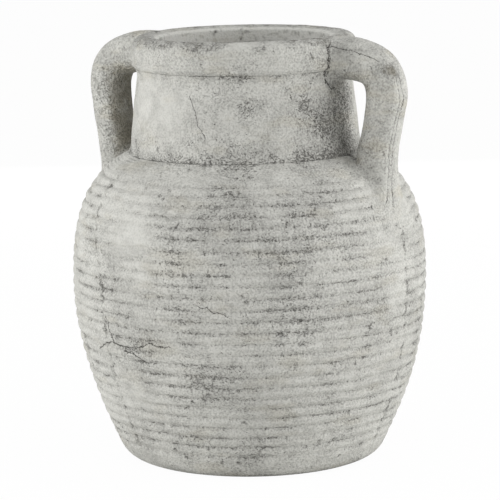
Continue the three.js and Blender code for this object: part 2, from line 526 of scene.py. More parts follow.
def mark(vert: bmesh.types.BMVert, layer: Any, groove: float, soil_and_painted_light: float, crack: float) -> None:
    """Writes the numbers that the finish reads at one point.

    Args:
        vert: The point.
        layer: The mesh's number layers.
        groove: Share of the way down into a groove.
        soil_and_painted_light: Dirt, with painted shade and light.
        crack: Offset to the nearest crack in millimetres.
    """
    for name, value in zip(MARKS, (groove, soil_and_painted_light, crack, bell(crack, NEAR_CRACK))):
        vert[layer[name]] = value


class Value:
    """A node socket that takes part in plain arithmetic, each operator adding a Math node."""

    def __init__(self, graph: "Graph", socket: bpy.types.NodeSocket) -> None:
        """Wraps one output socket of a graph."""
        self.graph = graph
        self.socket = socket

    def _math(self, operation: str, *operands: Any) -> "Value":
        """Adds one Math node."""
        return self.graph.node("ShaderNodeMath", {"operation": operation}, dict(enumerate(operands)))

    def __add__(self, other: Any) -> "Value":
        """Sum."""
        return self._math("ADD", self, other)

    def __radd__(self, other: Any) -> "Value":
        """Sum with a plain number first."""
        return self._math("ADD", other, self)

    def __sub__(self, other: Any) -> "Value":
        """Difference."""
        return self._math("SUBTRACT", self, other)

    def __rsub__(self, other: Any) -> "Value":
        """Difference from a plain number."""
        return self._math("SUBTRACT", other, self)

    def __mul__(self, other: Any) -> "Value":
        """Product."""
        return self._math("MULTIPLY", self, other)

    def __rmul__(self, other: Any) -> "Value":
        """Product with a plain number first."""
        return self._math("MULTIPLY", other, self)

    def __abs__(self) -> "Value":
        """Size without sign."""
        return self._math("ABSOLUTE", self)

    def most(self, other: Any) -> "Value":
        """The larger of two."""
        return self._math("MAXIMUM", self, other)

    def least(self, other: Any) -> "Value":
        """The smaller of two."""
        return self._math("MINIMUM", self, other)

    def step(self, low: float, high: float) -> "Value":
        """Eases from 0 at low to 1 at high, either way round."""
        return self.graph.node("ShaderNodeMapRange", {"interpolation_type": "SMOOTHSTEP"},
                               {"Value": self, "From Min": low, "From Max": high})


@dataclass(frozen=True)
class Texture:
    """A cloudy pattern: features for each metre, fine detail, its strength, and how squat they are."""

    scale: float
    detail: float
    roughness: float = 0.5
    squat: float = 1.0


class Graph:
    """A node tree that is filled by expressions."""

    def __init__(self, tree: bpy.types.NodeTree) -> None:
        """Starts with an empty tree."""
        self.tree = tree
        self.tree.nodes.clear()

    def node(self, kind: str, settings: dict[str, Any] | None = None,
             sockets: dict[Any, Any] | None = None, output: Any = 0) -> Value:
        """Adds a node.

        Args:
            kind: The node's type.
            settings: Properties, which are set first.
            sockets: Values or links of its inputs, by name or number.
            output: Which output is handed back.

        Returns:
            The wrapped output.
        """
        made = self.tree.nodes.new(kind)
        for name, value in (settings or {}).items():
            setattr(made, name, value)
        for key, value in (sockets or {}).items():
            if isinstance(value, Value):
                self.tree.links.new(value.socket, made.inputs[key])
            else:
                made.inputs[key].default_value = value
        return Value(self, made.outputs[output])

    def attribute(self, name: str) -> Value:
        """A number that the piece's mesh carries at each point."""
        return self.node("ShaderNodeAttribute", {"attribute_name": name}, output="Fac")

    def noise(self, place: Value, texture: Texture) -> Value:
        """Cloudy noise around one half.

        Args:
            place: Where on the piece, in metres.
            texture: The pattern.

        Returns:
            The noise.
        """
        if texture.squat != 1.0:
            place = self.node("ShaderNodeVectorMath", {"operation": "MULTIPLY"},
                              {0: place, 1: (1.0, 1.0, texture.squat)})
        return self.node("ShaderNodeTexNoise", None, {
            "Vector": place, "Scale": texture.scale, "Detail": texture.detail,
            "Roughness": texture.roughness})

    def shaken(self, place: Value, scale: float, reach: float) -> Value:
        """A place moved about by noise, by up to half the reach each way."""
        drift = self.node("ShaderNodeTexNoise", None, {"Vector": place, "Scale": scale}, "Color")
        return self.node("ShaderNodeVectorMath", {"operation": "MULTIPLY_ADD"},
                         {0: drift, 1: (reach, reach, reach), 2: place})

    def cell_edge(self, place: Value, scale: float) -> Value:
        """How far a place lies from the wall of its cell; scale is cells for each metre."""
        return self.node("ShaderNodeTexVoronoi", {"feature": "DISTANCE_TO_EDGE"},
                         {"Vector": place, "Scale": scale}, "Distance")

    def mix(self, share: Any, first: Any, second: Any) -> Value:
        """A colour between two, by a share."""
        return self.node("ShaderNodeMix", {"data_type": "RGBA"}, {0: share, 6: first, 7: second}, 2)

    def showing(self) -> Value:
        """1 on the rays that show the background: to the eye, off gloss and through glass.

        Returns:
            The share, 0 or 1.
        """
        rays = ("Is Camera Ray", "Is Glossy Ray", "Is Transmission Ray")
        camera, glossy, passing = (self.node("ShaderNodeLightPath", output=ray) for ray in rays)
        return camera.most(glossy).most(passing)

    def finish(self, kind: str, shader: Value) -> None:
        """Adds the tree's output node, of a kind, and links a shader to its surface."""
        output = self.tree.nodes.new(kind)
        self.tree.links.new(shader.socket, output.inputs["Surface"])


def new_material(name: str) -> tuple[bpy.types.Material, Graph]:
    """A material with an empty node tree.

    Args:
        name: The material's name.

    Returns:
        The material and its tree.
    """
    material = bpy.data.materials.new(name)
    material.use_nodes = True
    return material, Graph(material.node_tree)


def paint(colour: Colour) -> tuple[float, float, float, float]:
    """A colour with full opacity, as a colour socket takes it."""
    return (*colour, 1.0)


WHITE = paint((1.0, 1.0, 1.0))


class Surface:
    """The marks that a mesh carries and the patterns that a finish is mixed from."""

    CLOUD = Texture(14.0, 3.0)
    BLOTCH = Texture(62.0, 4.0, 0.6)
    STREAK = Texture(38.0, 5.0, 0.65, 12.0)
    WARMTH = Texture(21.0, 3.0, 0.5, 3.0)
    CRUMB = Texture(150.0, 3.0, 0.7)
    BREAKS = Texture(150.0, 2.0)
    SPECK = Texture(520.0, 1.0, 0.5, 1.5)
    GRAIN = Texture(540.0, 1.0)
    MIDDLE = 0.5

    def __init__(self, graph: Graph) -> None:
        """Reads the marks and adds the patterns.

        Args:
            graph: The material's tree.
        """
        place = graph.node("ShaderNodeTexCoord", output="Object")
        self.graph = graph
        self.place = place
        self.groove, self.soil_and_painted_light, self.crack, self.near = (graph.attribute(name) for name in MARKS)
        self.cloud = graph.noise(place, self.CLOUD)
        self.blotch = graph.noise(place, self.BLOTCH)
        self.streak = graph.noise(place, self.STREAK)
        self.warmth = graph.noise(place, self.WARMTH)
        self.breaks = graph.noise(place, self.BREAKS)
        self.speck = graph.noise(place, self.SPECK)
        self.grain = graph.noise(place, self.GRAIN)
        self.crumbs = graph.noise(place, self.CRUMB) - self.MIDDLE


@dataclass(frozen=True)
class StoneWash:
    """Matt clay under a thin pale wash that has left dirt in every recess, with painted shade and light
    laid on in the same colours.

    A pair named span or after a pattern is where that pattern starts to show and where it shows fully.
    """

    name: str
    pale: Colour = (0.60, 0.597, 0.56)
    shade: Colour = (0.43, 0.427, 0.40)
    # Chalky pale for pale grain and rubbed places, also used for painted light.
    chalk_and_light: Colour = (0.74, 0.737, 0.70)
    warm: Colour = (0.44, 0.415, 0.345)
    # Dark film colour for dirt, also used for painted shade.
    grime_and_shade: Colour = (0.19, 0.182, 0.155)
    dirt: Colour = (0.075, 0.072, 0.064)
    streaks: float = 0.3
    grit: float = 0.28
    smear: float = 0.3
    fleck: float = 0.9
    spots: float = 0.7
    dulling: float = 0.07
    crazing: float = 0.5
    clouds: float = 0.35
    wash_span: Span = (0.36, 0.62)
    warming: float = 0.35
    warm_span: Span = (0.52, 0.70)
    shading: float = 0.3
    shade_span: Span = (0.3, 0.6)
    chalk_and_light_share: float = 0.4
    rubbed_and_lit_span: Span = (-0.35, -1.2)
    film_crumbs: float = 1.1
    film_streaks: float = 2.5
    film_span: Span = (0.5, 2.1)
    dot_crumbs: float = 0.3
    dot_soil: float = 0.15
    dot_span: Span = (0.70, 0.78)
    craze_cells: float = 230.0
    craze_shake: Span = (300.0, 0.006)
    craze_edge: Span = (0.12, 0.02)
    craze_crumbs: float = 2.2
    craze_soil: Span = (0.2, 1.0)
    craze_grain: Span = (0.60, 0.44)
    smudging: float = 2.0
    smudge_crumbs: float = 0.4
    smudge_span: Span = (0.58, 0.70)
    smudge_soil: Span = (0.1, 0.9)
    crack_crumbs: float = 10.0
    crack_speck: float = 4.0
    crack_grain: float = 0.8
    crack_span: Span = (0.9, 0.35)
    crack_breaks: Span = (0.24, 0.34)
    crack_near: Span = (0.1, 0.5)
    crack_share: float = 0.95
    clean_grit: float = 0.4
    grit_soil: Span = (-0.7, 0.3)
    dark_grain: Span = (0.52, 0.34)
    pale_grain: Span = (0.52, 0.68)
    grain_relief: float = 0.7
    streak_relief: float = 0.5
    blotch_relief: float = 0.6
    dot_relief: float = 1.0
    crack_relief: float = 1.4
    craze_relief: float = 0.8
    bump_strength: float = 0.9
    bump_depth: float = 0.001
    roughness: float = 0.92
    specular: float = 0.2

    def washed(self, look: Surface) -> Value:
        """The wash before any dirt: two greys, warmer here and there, painted shade in the grooves, and
        chalky where rubbed and where light is painted.

        Args:
            look: The marks and patterns.

        Returns:
            The colour.
        """
        mix = look.graph.mix
        blotches = 1.0 - self.clouds - self.streaks
        tone = self.clouds * look.cloud + blotches * look.blotch + self.streaks * look.streak
        wash = (tone - self.dulling * look.soil_and_painted_light).step(*self.wash_span)
        colour = mix(wash, paint(self.shade), paint(self.pale))
        colour = mix(self.warming * look.warmth.step(*self.warm_span), colour, paint(self.warm))
        # Painted shade in the belly's grooves and along the handles' lines, where the groove mark lies.
        groove_shade = self.shading * look.groove * look.blotch.step(*self.shade_span)
        colour = mix(groove_shade, colour, paint(self.shade))
        # The chalky pale lightens rubbed places, and paints light on the mouth's inner wall and a highlight
        # on its front edge.
        return mix(self.chalk_and_light_share * look.soil_and_painted_light.step(*self.rubbed_and_lit_span), colour, paint(self.chalk_and_light))

    def film(self, look: Surface) -> Value:
        """The share of a thin dirt film, which also lays painted shade where the dirt mark carries it."""
        streaky = self.film_streaks * self.streaks * (look.streak - look.MIDDLE)
        return self.smear * (look.soil_and_painted_light + self.film_crumbs * look.crumbs + streaky).step(*self.film_span)

    def dots(self, look: Surface) -> Value:
        """The share of small dark dots, more of them on dirty clay."""
        soiled = self.dot_soil * look.soil_and_painted_light.least(self.fleck)
        return (look.speck + self.dot_crumbs * look.crumbs + soiled).step(*self.dot_span)

    def craze(self, look: Surface) -> Value:
        """The share of fine crazing, which shows on dirty clay.

        Args:
            look: The marks and patterns.

        Returns:
            The share.
        """
        graph = look.graph
        net = graph.cell_edge(graph.shaken(look.place, *self.craze_shake), self.craze_cells)
        soiled = (look.soil_and_painted_light + self.craze_crumbs * look.crumbs).step(*self.craze_soil)
        return net.step(*self.craze_edge) * soiled * look.grain.step(*self.craze_grain)

    def smudges(self, look: Surface) -> Value:
        """The share of long smudges on dirty clay."""
        smudge = (look.streak + self.smudge_crumbs * look.crumbs).step(*self.smudge_span)
        return self.smudging * self.streaks * smudge * look.soil_and_painted_light.step(*self.smudge_soil)

    def split(self, look: Surface) -> Value:
        """The share of open crack, which wanders and breaks off.

        Args:
            look: The marks and patterns.

        Returns:
            The share.
        """
        bend = look.crack + self.crack_crumbs * look.crumbs + self.crack_speck * (look.speck - look.MIDDLE)
        whole = look.breaks.step(*self.crack_breaks) * look.near.step(*self.crack_near)
        ragged = self.crack_grain * (look.grain - look.MIDDLE)
        return (abs(bend) + ragged).step(*self.crack_span) * whole

    def material(self) -> bpy.types.Material:
        """Builds the node material.

        Returns:
            The finished material.
        """
        material, graph = new_material(self.name)
        look = Surface(graph)
        film, dots, craze, split = self.film(look), self.dots(look), self.craze(look), self.split(look)
        gritty = self.clean_grit + (1.0 - self.clean_grit) * look.soil_and_painted_light.step(*self.grit_soil)
        rough = self.grit * gritty * (1.0 - film)
        filth = (self.spots * dots).most(self.crack_share * split)
        filth = filth.most(self.crazing * craze).most(self.smudges(look))
        # The dark film is dirt, and also painted shade on the handles' sides that face the pot, under the
        # mouth's edge and on the neck under the right handle.
        colour = graph.mix(film, self.washed(look), paint(self.grime_and_shade))
        colour = graph.mix(rough * look.grain.step(*self.dark_grain), colour, paint(self.dirt))
        colour = graph.mix(rough * look.grain.step(*self.pale_grain), colour, paint(self.chalk_and_light))
        colour = graph.mix(filth, colour, paint(self.dirt))
        raised = self.grain_relief * look.grain + self.streak_relief * look.streak
        raised = raised + self.blotch_relief * look.blotch
        sunk = self.dot_relief * dots + self.crack_relief * split + self.craze_relief * craze
        bump = graph.node("ShaderNodeBump", None, {
            "Strength": self.bump_strength, "Distance": self.bump_depth, "Height": raised - sunk})
        graph.finish("ShaderNodeOutputMaterial", graph.node("ShaderNodeBsdfPrincipled", None, {
            "Base Color": colour, "Roughness": self.roughness, "Specular IOR Level": self.specular,
            "Normal": bump}))
        return material


class Piece(ABC):
    """One fired piece of the pot: how its mesh is made, and how it joins the frame."""

    node: str
    slot: str

    @abstractmethod
    def build(self) -> bmesh.types.BMesh:
        """Makes the piece's mesh in millimetres."""

    def dress(self, material: bpy.types.Material) -> bpy.types.Object:
        """Turns the mesh into a finished object that stands for its CAD node.

        Args:
            material: The piece's finish.

        Returns:
            The object in the scene.
        """
        shape = self.build()
        bmesh.ops.scale(shape, vec=Vector((MM, MM, MM)), verts=shape.verts)
        crisp = math.radians(CRISP_EDGE)
        for face in shape.faces:
            face.smooth = True
        for edge in shape.edges:
            edge.smooth = edge.calc_face_angle(0.0) < crisp
        mesh = bpy.data.meshes.new(f"{self.node}_fired")
        shape.to_mesh(mesh)
        shape.free()
        mesh.materials.append(material)
        piece = bpy.data.objects.new(f"{self.node}_fired", mesh)
        bpy.context.scene.collection.objects.link(piece)
        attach(piece, "root")
        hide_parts(self.node)
        return piece


def turned_shape(outline: Sequence[Vector], lengths: Sequence[float], start: float, sweep: float,
                 steps: int) -> bmesh.types.BMesh:
    """Spins a closed outline about the pot's axis.

    Args:
        outline: The closed outline's (radius, height) points, in order.
        lengths: Each point's length along the outer wall, kept in the layer named along.
        start: Degrees from +X at which the sweep starts.
        sweep: Degrees that it covers.
        steps: How many steps it takes.

    Returns:
        The closed mesh, with its layers.
    """
    shape = bmesh.new()
    for name in ("along", *MARKS):
        shape.verts.layers.float.new(name)
    along = shape.verts.layers.float["along"]
    points = [shape.verts.new((point.x, 0.0, point.y)) for point in outline]
    for point, length in zip(points, lengths):
        point[along] = length
    edges = [shape.edges.new((point, points[index - 1])) for index, point in enumerate(points)]
    bmesh.ops.rotate(shape, cent=ORIGIN, matrix=Matrix.Rotation(math.radians(start), 3, "Z"), verts=points)
    bmesh.ops.spin(shape, geom=points + edges, cent=ORIGIN, axis=UP, angle=math.radians(sweep),
                   steps=steps, use_merge=sweep >= 360.0)
    bmesh.ops.remove_doubles(shape, verts=shape.verts, dist=MERGE)
    bmesh.ops.edgeloop_fill(shape, edges=[edge for edge in shape.edges if edge.is_boundary])
    bmesh.ops.recalc_face_normals(shape, faces=shape.faces)
    return shape


def ring_shape(outline: Sequence[Vector], steps: int) -> bmesh.types.BMesh:
    """Spins a closed outline right round the pot's axis, in so many steps."""
    return turned_shape(outline, [OFF_WALL] * len(outline), 0.0, 360.0, steps)


@dataclass
class BellyPanel(Piece):
    """One third of the ribbed belly, pressed in a mould and joined to the next on upright seams."""

    vessel: Vessel
    place: PanelPlace
    weather: Weather
    slot: str = "ribbed_clay"
    sweep: float = 120.0
    steps: int = 214
    row: float = 1.35
    rib_pitch: float = 11.3
    rib_depth: float = 1.9
    rib_wander: float = 1.4
    rib_slip: float = 0.8
    plain_shoulder: float = 34.0
    turning_line: float = 4.3
    foot_clear: Span = (24.0, 40.0)
    foot_place: Span = (150.0, 276.0)
    edge_steps: int = 10
    hollow_steps: int = 16
    groove_power: float = 1.8
    slip_turn: float = 0.75
    wander_scale: Span = (0.016, 0.05)
    shoulder_fade: Span = (-2.0, 6.0)
    low_rib: float = 0.25
    low_run: float = 20.0
    turning_depth: float = 0.7
    turning_power: int = 3
    turning_wear: Uneven = Uneven(0.4, ((1.0, 0.03),), 0.0)
    filling: Uneven = Uneven(0.65, ((1.1, 0.035),), 0.0)
    filling_dirt: float = 0.5
    joint_reach: float = 2.6
    joint_dirt: Uneven = Uneven(0.6, ((1.6, 0.08),))
    joint_depth: float = 0.8
    joint_gape: Uneven = Uneven(0.6, ((1.3, 0.1),), 0.0)
    crease_reach: float = 3.0
    crease_dirt: Uneven = Uneven(0.8, ((1.4, 0.08),))
    # How much darker the foot's underside and bottom edge get towards the floor.
    foot_darkening: float = 1.4
    foot_darkening_reach: float = 3.0
    wear: Uneven = Uneven(0.9, ((0.7, 0.017),), 0.35)
    rubbing: float = 0.55
    crack_depth: float = 0.7
    dents: Uneven = Uneven(0.0, ((0.3, 0.1), (0.22, 0.36)))
    pits: Pits = Pits(9.0, 0.22, 0.25, 0.9, 1.3)
    turn_slack: float = 1.0

    def __post_init__(self) -> None:
        """Names the CAD node that the panel stands for."""
        self.node = f"belly_panel_{self.place.name.lower()}"

    def outline(self) -> tuple[list[Vector], list[float]]:
        """The panel's closed outline.

        Returns:
            The points, and each one's length along the outer wall, or OFF_WALL.
        """
        vessel = self.vessel
        wall = vessel.wall
        corner = Vector((vessel.foot_radius - vessel.foot_rise * vessel.foot_lean, 0.0))
        start, end = Vector((vessel.foot_flat, 0.0)), wall.points[0]
        points = [Vector((vessel.foot_ring, 0.0))]
        points += rounded(start, corner, end, self.edge_steps)[:-1]
        lengths = [OFF_WALL] * len(points)
        rows = round(wall.length / self.row)
        for index in range(rows + 1):
            along = wall.length * index / rows
            points.append(wall.at(along))
            lengths.append(along)
        socket = vessel.neck_root - vessel.shoulder_seat
        floor = vessel.foot_ledge_height + vessel.floor_plate
        inner = [Vector((socket, vessel.shoulder_height)),
                 Vector((socket, vessel.shoulder_height - vessel.socket_depth))]
        for index in range(self.hollow_steps + 1):
            along = wall.length * (1.0 - index / self.hollow_steps)
            spot = wall.at(along) - wall.outwards(along) * vessel.belly_wall
            if spot.x > socket + vessel.belly_wall / 2 and spot.y > floor + vessel.belly_wall / 2:
                inner.append(spot)
        inner += [Vector(((inner[-1].x + vessel.foot_ledge) / 2, floor)),
                  Vector((vessel.foot_ledge, floor)),
                  Vector((vessel.foot_ledge, vessel.foot_ledge_height)),
                  Vector((vessel.foot_ring, vessel.foot_ledge_height))]
        return points + inner, lengths + [OFF_WALL] * len(inner)

    def groove_at(self, along: float, point: Vector) -> float:
        """How far a place lies in a groove between ribs.

        Args:
            along: Length along the wall from the foot.
            point: The place itself.

        Returns:
            A share from 0 on a rib's crest to 1 at a groove's bottom.
        """
        ribbed = self.vessel.wall.length - self.plain_shoulder
        pitch = ribbed / round(ribbed / self.rib_pitch)
        slip = self.rib_slip * math.sin(math.radians(self.place.value) * self.slip_turn)
        flat, steep = self.wander_scale
        wander = self.rib_wander * noise.noise(Vector((point.x * flat, point.y * flat, point.z * steep)))
        phase = (along + wander + slip) / pitch
        crest = 2.0 * abs(phase - round(phase))
        foot = Vector((self.foot_place[0], 0.0, self.foot_place[1]))
        clear = smooth_step(*self.foot_clear, (Vector((abs(point.x), point.y, point.z)) - foot).length)
        fade = 1.0 - smooth_step(*self.shoulder_fade, along - ribbed)
        risen = self.low_rib + (1.0 - self.low_rib) * smooth_step(0.0, self.low_run, along)
        ripple = 0.5 + 0.5 * math.cos(math.tau * (along + wander) / self.turning_line)
        lines = self.turning_depth * (1.0 - fade) * ripple ** self.turning_power
        lines *= self.turning_wear.at(point)
        return clear * (fade * risen * (1.0 - crest) ** self.groove_power + lines)

    def weathered(self, vert: bmesh.types.BMVert, layer: Any, seam: float) -> None:
        """Presses ribs, seams, pits and cracks into one point of the outer wall and marks its dirt.

        Args:
            vert: The point, on the smooth wall.
            layer: The mesh's number layers.
            seam: How far it lies from the nearer seam.
        """
        vessel = self.vessel
        point = vert.co.copy()
        along = vert[layer["along"]]
        groove = self.groove_at(along, point)
        crack = self.weather.crack(point)
        base = self.weather.soil_and_painted_light(point)
        joint = bell(seam, self.joint_reach)
        pit = self.pits.at(point, base)
        soil_and_painted_light = base + groove ** 2 * (self.filling.at(point) + self.filling_dirt * base)
        soil_and_painted_light += joint * self.joint_dirt.at(point)
        soil_and_painted_light += fading(vessel.wall.length - along, self.crease_reach) * self.crease_dirt.at(point)
        mark(vert, layer, groove, soil_and_painted_light + self.pits.dirt * pit, crack)
        rubbed = min(max(-base, 0.0), 1.0)
        worn = self.wear.at(point) * (1.0 - self.rubbing * rubbed)
        sunk = self.rib_depth * groove * worn
        sunk += self.joint_depth * joint * self.joint_gape.at(point)
        sunk += self.pits.depth * pit
        sunk += self.crack_depth * bell(crack, CRACK_REACH)
        sunk += self.dents.at(point)
        square = vessel.wall.outwards(along)
        spoke = Vector((point.x, point.y, 0.0)).normalized()
        vert.co = point - (spoke * square.x + UP * square.y) * sunk

    def build(self) -> bmesh.types.BMesh:
        """Makes the panel: a spun outline, its seams drawn askew, then the weathered outer wall.

        Returns:
            The mesh in millimetres.
        """
        vessel = self.vessel
        outline, lengths = self.outline()
        shape = turned_shape(outline, lengths, self.place.value, self.sweep, self.steps)
        layer = shape.verts.layers.float
        last = self.place.value + self.sweep
        for vert in shape.verts:
            turn = math.degrees(math.atan2(vert.co.y, vert.co.x)) - self.place.value
            turn = (turn + self.turn_slack) % 360.0 - self.turn_slack
            share = turn / self.sweep
            stray = (1.0 - share) * vessel.seam_shift(self.place.value, vert.co.z)
            stray += share * vessel.seam_shift(last, vert.co.z)
            vert.co.rotate(Matrix.Rotation(math.radians(stray), 3, "Z"))
            if vert[layer["along"]] < 0.0:
                # The foot's underside and bottom edge get darker towards the floor.
                low = self.foot_darkening * fading(vert.co.z, self.foot_darkening_reach)
                mark(vert, layer, 0.0, self.weather.soil_and_painted_light(vert.co) + low, FAR_AWAY)
            else:
                aside = math.radians(min(turn, self.sweep - turn))
                self.weathered(vert, layer, aside * math.hypot(vert.co.x, vert.co.y))
            vert.co = vessel.settled(vert.co)
        return shape


@dataclass
class FloorSlab(Piece):
    """The slab that closes the foot, with a drain in its middle."""

    vessel: Vessel
    node: str = "floor_slab"
    slot: str = "floor_clay"
    drain_radius: float = 12.0
    relief: float = 1.0
    edge: float = 2.0
    edge_steps: int = 5
    steps: int = 160
    dirt: Uneven = Uneven(0.4, ((1.0, 0.03),))

    def build(self) -> bmesh.types.BMesh:
        """Makes the slab.

        Returns:
            The mesh in millimetres.
        """
        vessel = self.vessel
        gap = vessel.joint_gap
        ledge = vessel.foot_ledge_height + gap
        top = vessel.foot_ledge_height + vessel.floor_plate
        outline = eased_outline([
            (self.drain_radius, self.relief, self.edge),
            (vessel.foot_ring - gap, self.relief, self.edge),
            (vessel.foot_ring - gap, ledge, 0.0),
            (vessel.foot_ledge - gap, ledge, 0.0),
            (vessel.foot_ledge - gap, top, self.edge),
            (self.drain_radius, top, self.edge),
        ], self.edge_steps)
        shape = ring_shape(outline, self.steps)
        for vert in shape.verts:
            mark(vert, shape.verts.layers.float, 0.0, self.dirt.at(vert.co), FAR_AWAY)
            vert.co = vessel.settled(vert.co)
        return shape


@dataclass
class TurnedBand(Piece):
    """A whole turned ring with a smooth, slightly pitted outer face."""

    vessel: Vessel
    weather: Weather
    steps: int = 420
    row: float = 1.6
    round_steps: int = 7
    bore_clear: Span = (1.0, 4.0)
    crack_depth: float = 0.6
    dents: Uneven = Uneven(0.0, ((0.45, 0.05), (0.16, 0.36)))
    pits: Pits = Pits(7.0, 0.12, 0.3, 0.8, 1.3)
    crease_dirt: Uneven = Uneven(0.5, ((1.6, 0.07),))
    crease_reach: float = 3.0

    @abstractmethod
    def corners(self) -> list[Corner]:
        """The ring's corners: radius, height and round."""

    @abstractmethod
    def gathered_and_painted(self, point: Vector) -> float:
        """The dirt that has gathered at a point because of the ring's own form, with any painted light and
        shade there.
        """

    def rim_crease(self, point: Vector, away: float) -> float:
        """The broken line of dirt where neck and rim meet, at a point that lies so far away from it."""
        return self.crease_dirt.at(point) * fading(away, self.crease_reach)

    def outline(self) -> list[Vector]:
        """The ring's closed outline, with long sides cut into rows.

        Returns:
            The outline's points in order.
        """
        points: list[Vector] = []
        eased = eased_outline(self.corners(), self.round_steps)
        for start, end in zip(eased, eased[1:] + eased[:1]):
            count = max(round((end - start).length / self.row), 1)
            points += [start.lerp(end, index / count) for index in range(count)]
        return points

    def build(self) -> bmesh.types.BMesh:
        """Makes the ring, with small dents, pits and cracks.

        Returns:
            The mesh in millimetres.
        """
        shape = ring_shape(self.outline(), self.steps)
        layer = shape.verts.layers.float
        shape.normal_update()
        for vert in shape.verts:
            point = vert.co.copy()
            bore = math.hypot(point.x, point.y) - self.vessel.neck_bore
            outside = smooth_step(*self.bore_clear, bore)
            crack = self.weather.crack(point) if outside else FAR_AWAY
            soil_and_painted_light = self.weather.soil_and_painted_light(point) + self.gathered_and_painted(point)
            pit = self.pits.at(point, soil_and_painted_light) * outside
            mark(vert, layer, 0.0, soil_and_painted_light + self.pits.dirt * pit, crack)
            sunk = self.dents.at(point) + self.pits.depth * pit
            sunk += self.crack_depth * bell(crack, CRACK_REACH)
            vert.co = self.vessel.settled(point - vert.normal * sunk * outside)
        return shape


@dataclass
class NeckCollar(TurnedBand):
    """The plain neck, let into the shoulder."""

    node: str = "neck_collar"
    slot: str = "neck_clay"
    low_round: float = 2.0
    flare: float = 2.2
    flare_rise: float = 4.4
    flare_round: float = 3.3
    root_tuck: float = 0.44
    top_tuck: float = 0.22
    top_flare: float = 2.42
    top_lift: float = 1.1
    shoulder_dirt: float = 0.9
    shoulder_reach: float = 9.0
    crumb_dirt: float = 2.6
    crumbs: Uneven = Uneven(0.1, ((1.0, 0.06),), 0.0)

    def corners(self) -> list[Corner]:
        """The collar's corners: radius, height and round.

        Returns:
            The corners in order, from the bore's foot outwards.
        """
        vessel = self.vessel
        spigot = vessel.neck_root - vessel.shoulder_seat - vessel.joint_gap
        low = vessel.shoulder_height - vessel.socket_depth
        seat = vessel.shoulder_height - vessel.bedding
        top = vessel.neck_height + vessel.bedding
        ledge = vessel.neck_height - vessel.rim_spigot
        socket = vessel.rim_spigot_radius + vessel.joint_gap
        return [(vessel.neck_bore, low, self.low_round), (spigot, low, 0.0), (spigot, seat, 0.0),
                (vessel.neck_root + self.flare, seat, 0.0),
                (vessel.neck_root - self.root_tuck, seat + self.flare_rise, self.flare_round),
                (vessel.neck_top - self.top_tuck, top - self.flare_rise, self.flare_round),
                (vessel.neck_top + self.top_flare, top + self.top_lift, 0.0),
                (socket, top, 0.0), (socket, ledge, 0.0), (vessel.neck_bore, ledge, 0.0)]

    def gathered_and_painted(self, point: Vector) -> float:
        """Crumbly dirt above the shoulder, and a thin broken line of it under the rim.

        Args:
            point: A point of the collar.

        Returns:
            The dirt.
        """
        crumbly = self.shoulder_dirt + self.crumb_dirt * self.crumbs.at(point)
        low = crumbly * fading(point.z - self.vessel.shoulder_height, self.shoulder_reach)
        return low + self.rim_crease(point, self.vessel.neck_height - point.z)


@dataclass
class RimBand(TurnedBand):
    """The fat rolled rim, let into the neck."""

    node: str = "rim_band"
    slot: str = "rim_clay"
    mouth_radius: float = 84.0
    inner_drop: float = 3.0
    inner_round: float = 2.0
    spigot_round: float = 1.0
    belly: float = 0.7
    belly_round: float = 8.0
    bead_drop: float = 5.0
    bead_reach: float = 3.0
    bead_share: float = 0.8
    bead_dirt: Uneven = Uneven(0.4, ((0.8, 0.05), (1.1, 0.25)))
    crest_reach: float = 1.5
    crest_dirt: Uneven = Uneven(0.9, ((1.2, 0.09), (1.4, 0.3)))
    mouth_edge: Span = (2.0, 6.0)
    # Mottled painted light on the mouth's inner wall, and a painted shadow line under its edge.
    lining_light_and_shade: Uneven = Uneven(1.6, ((1.8, 0.09), (2.6, 0.3)))
    lip_shadow_drop: float = 6.0
    lip_shadow_reach: float = 1.5

    def corners(self) -> list[Corner]:
        """The rim's corners: radius, height and round.

        Returns:
            The corners in order, from the spigot's foot outwards.
        """
        vessel = self.vessel
        low = vessel.neck_height - vessel.rim_spigot + vessel.joint_gap
        seat = vessel.neck_height + vessel.joint_gap
        crest = (vessel.rim_radius + self.mouth_radius) / 2
        under, over = vessel.rim_corners()
        middle = (vessel.rim_radius + self.belly, (seat + vessel.crest_height - vessel.rim_under_round) / 2)
        return [(self.mouth_radius + self.inner_drop, low, self.spigot_round),
                (vessel.rim_spigot_radius, low, 0.0), (vessel.rim_spigot_radius, seat, 0.0),
                (under[0] - self.belly, *under[1:]),
                (*middle, self.belly_round), (over[0] - self.belly, *over[1:]),
                (crest, vessel.crest_height, 0.0),
                (self.mouth_radius, vessel.crest_height - self.inner_drop, self.inner_round)]

    def gathered_and_painted(self, point: Vector) -> float:
        """Dirt in the crease above the neck, below and on the crest, and a painted shadow line under the
        mouth's edge.

        The mouth's inner wall is lighter with mottled painted light.

        Args:
            point: A point of the rim.

        Returns:
            The dirt and painted shade, below 0 where light is painted on the mouth's inner wall.
        """
        vessel = self.vessel
        radius = math.hypot(point.x, point.y)
        fallen = vessel.crest_height - point.z
        outer = smooth_step(vessel.neck_bore, vessel.neck_top, radius)
        inside = 1.0 - smooth_step(*self.mouth_edge, radius - self.mouth_radius)
        crease = self.rim_crease(point, point.z - vessel.neck_height)
        bead = bell(fallen - self.bead_drop, self.bead_reach) * self.bead_dirt.at(point)
        crest = fading(fallen, self.crest_reach) * self.crest_dirt.at(point)
        # Painted light on the mouth's inner wall, less in a painted shadow line just under its edge.
        lining_light_and_shade = inside * (self.lining_light_and_shade.at(point) - bell(fallen - self.lip_shadow_drop, self.lip_shadow_reach))
        return outer * (crease + self.bead_share * bead) + crest - lining_light_and_shade


